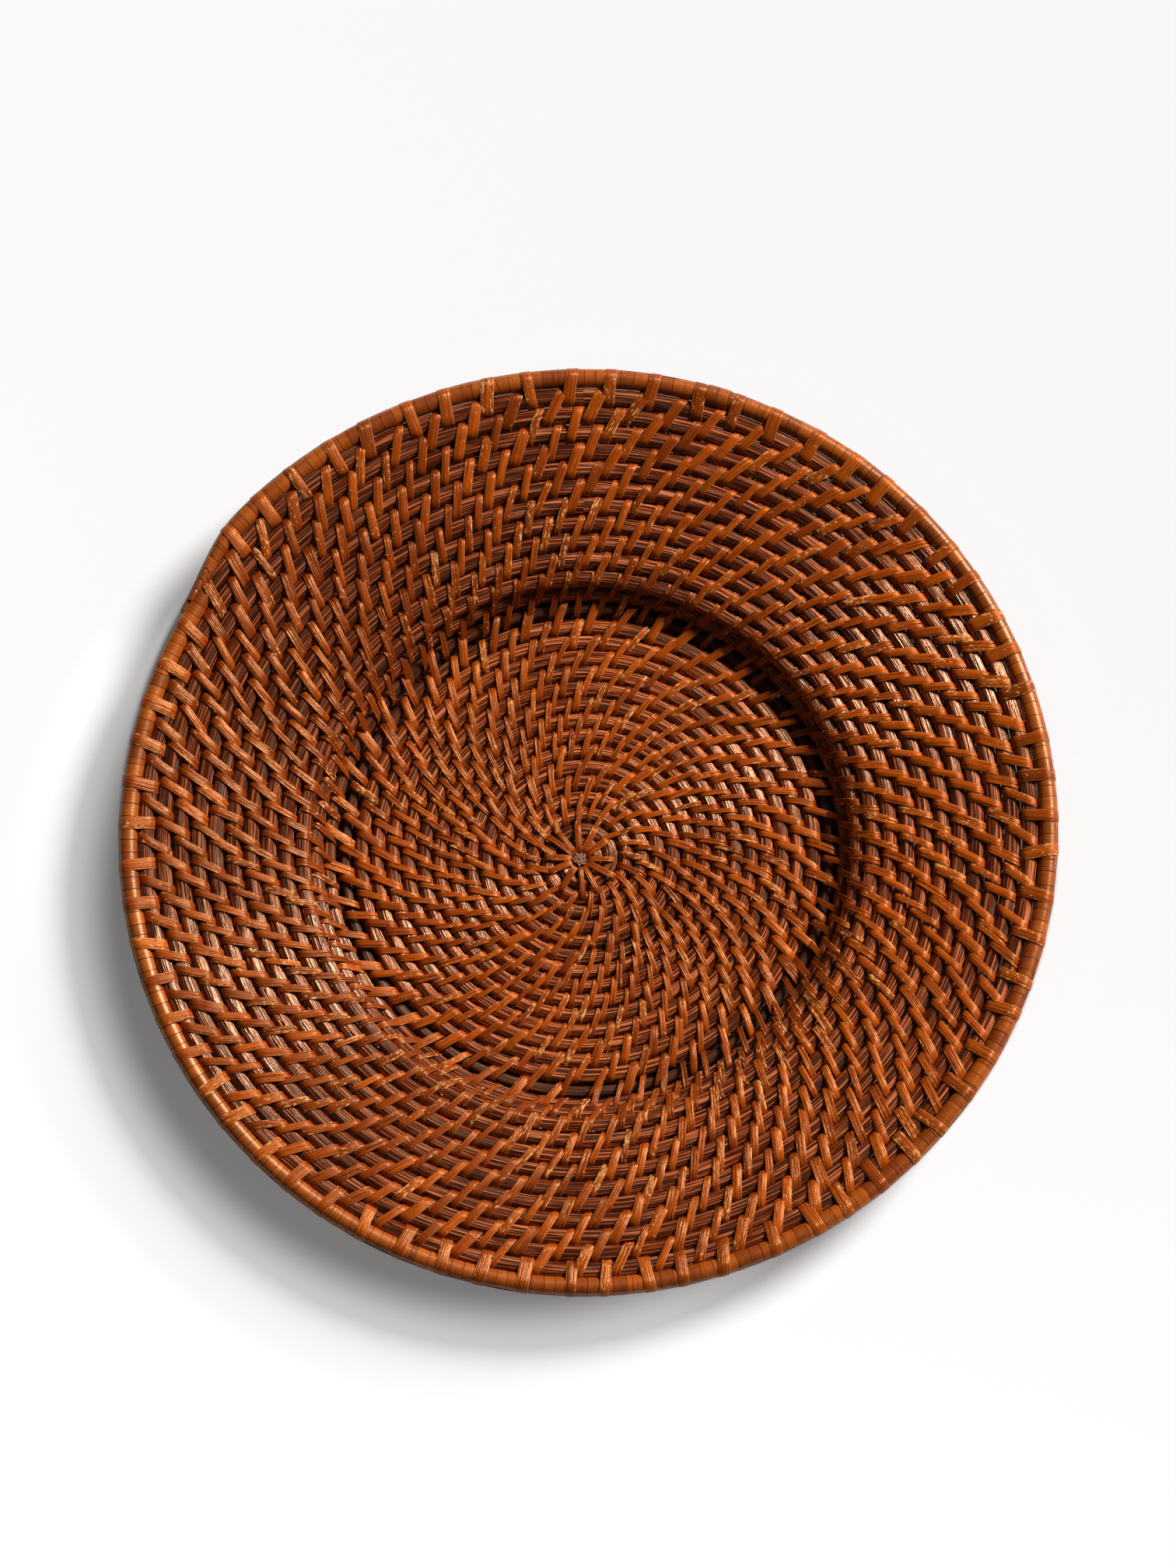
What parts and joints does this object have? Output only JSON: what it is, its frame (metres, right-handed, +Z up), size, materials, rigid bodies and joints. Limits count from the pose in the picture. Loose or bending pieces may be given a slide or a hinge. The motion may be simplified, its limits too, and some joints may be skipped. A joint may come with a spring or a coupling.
{
  "type": "charger plate",
  "caption": "Round charger plate of coiled brown cane: a flat round well, a low wall and a broad rising flange with a wrapped rim.",
  "frame": {"origin": "centre of the plate's outline, on the surface the plate rests on", "axes": "+Z up, out of the well; -Y towards the side that is at the bottom of the picture; +X to the picture's right"},
  "size_m": [0.3311, 0.3346, 0.0282],
  "materials": {
    "floor_cane": "varnished",
    "flange_cane": "varnished",
    "stitching_strip": "gloss varnish",
    "rim_strip": "gloss varnish",
    "lashing_strip": "gloss varnish"
  },
  "bodies": {
    "root": {"centre_tuft": "stitching_strip", "floor_rod_inner": "floor_cane", "floor_rod_outer": "floor_cane", "wall_rod": "flange_cane", "flange_rod_inner": "flange_cane", "flange_rod_middle": "flange_cane", "flange_rod_outer": "flange_cane", "rim_rod": "flange_cane", "stitch_row_01": "stitching_strip", "stitch_row_02": "stitching_strip", "stitch_row_03": "stitching_strip", "stitch_row_04": "stitching_strip", "stitch_row_05": "stitching_strip", "stitch_row_06": "stitching_strip", "stitch_row_07": "stitching_strip", "stitch_row_08": "stitching_strip", "stitch_row_09": "stitching_strip", "stitch_row_10": "stitching_strip", "stitch_row_11": "stitching_strip", "stitch_row_12": "stitching_strip", "stitch_row_13": "stitching_strip", "stitch_row_14": "stitching_strip", "stitch_row_15": "stitching_strip", "stitch_row_16": "stitching_strip", "stitch_row_17": "stitching_strip", "stitch_row_18": "stitching_strip", "stitch_row_19": "stitching_strip", "stitch_row_20": "stitching_strip", "stitch_row_21": "stitching_strip", "stitch_row_22": "stitching_strip", "stitch_row_23": "stitching_strip", "stitch_row_24": "stitching_strip", "stitch_row_25": "stitching_strip", "stitch_row_26": "stitching_strip", "stitch_row_27": "stitching_strip", "rim_wrap": "rim_strip", "rim_lashing": "lashing_strip"}
  },
  "joints": []
}
